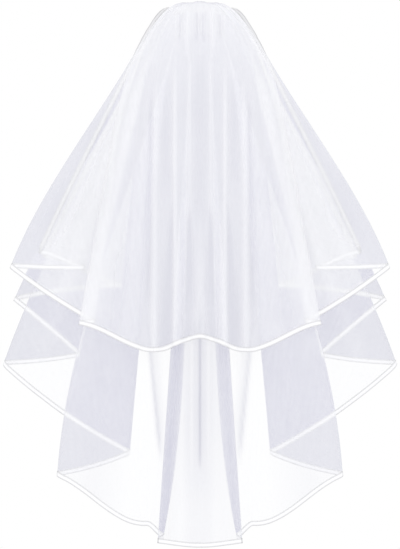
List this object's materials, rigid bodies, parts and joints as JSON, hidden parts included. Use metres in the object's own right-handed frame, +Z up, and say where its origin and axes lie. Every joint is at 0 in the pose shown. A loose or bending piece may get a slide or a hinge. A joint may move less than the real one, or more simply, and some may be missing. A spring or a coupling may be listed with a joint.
{
  "type": "bridal veil",
  "caption": "Two-tier elbow-length bridal veil of white tulle with narrow satin ribbon edges, gathered onto a hair comb.",
  "frame": {"origin": "middle of the comb's bar, where the wearer's hair holds the veil at the back of the crown", "axes": "+Z up along the standing wearer, -Y out of the wearer's back, +X to the wearer's right"},
  "size_m": [0.6142, 0.2288, 0.8337],
  "materials": {
    "tulle": "matte",
    "satin": "satin",
    "clear_plastic": "gloss"
  },
  "bodies": {
    "root": {"comb": "clear_plastic", "heading_tape": "satin", "upper_tier": "tulle", "upper_ribbon": "satin", "lower_tier": "tulle", "lower_ribbon": "satin"}
  },
  "joints": []
}
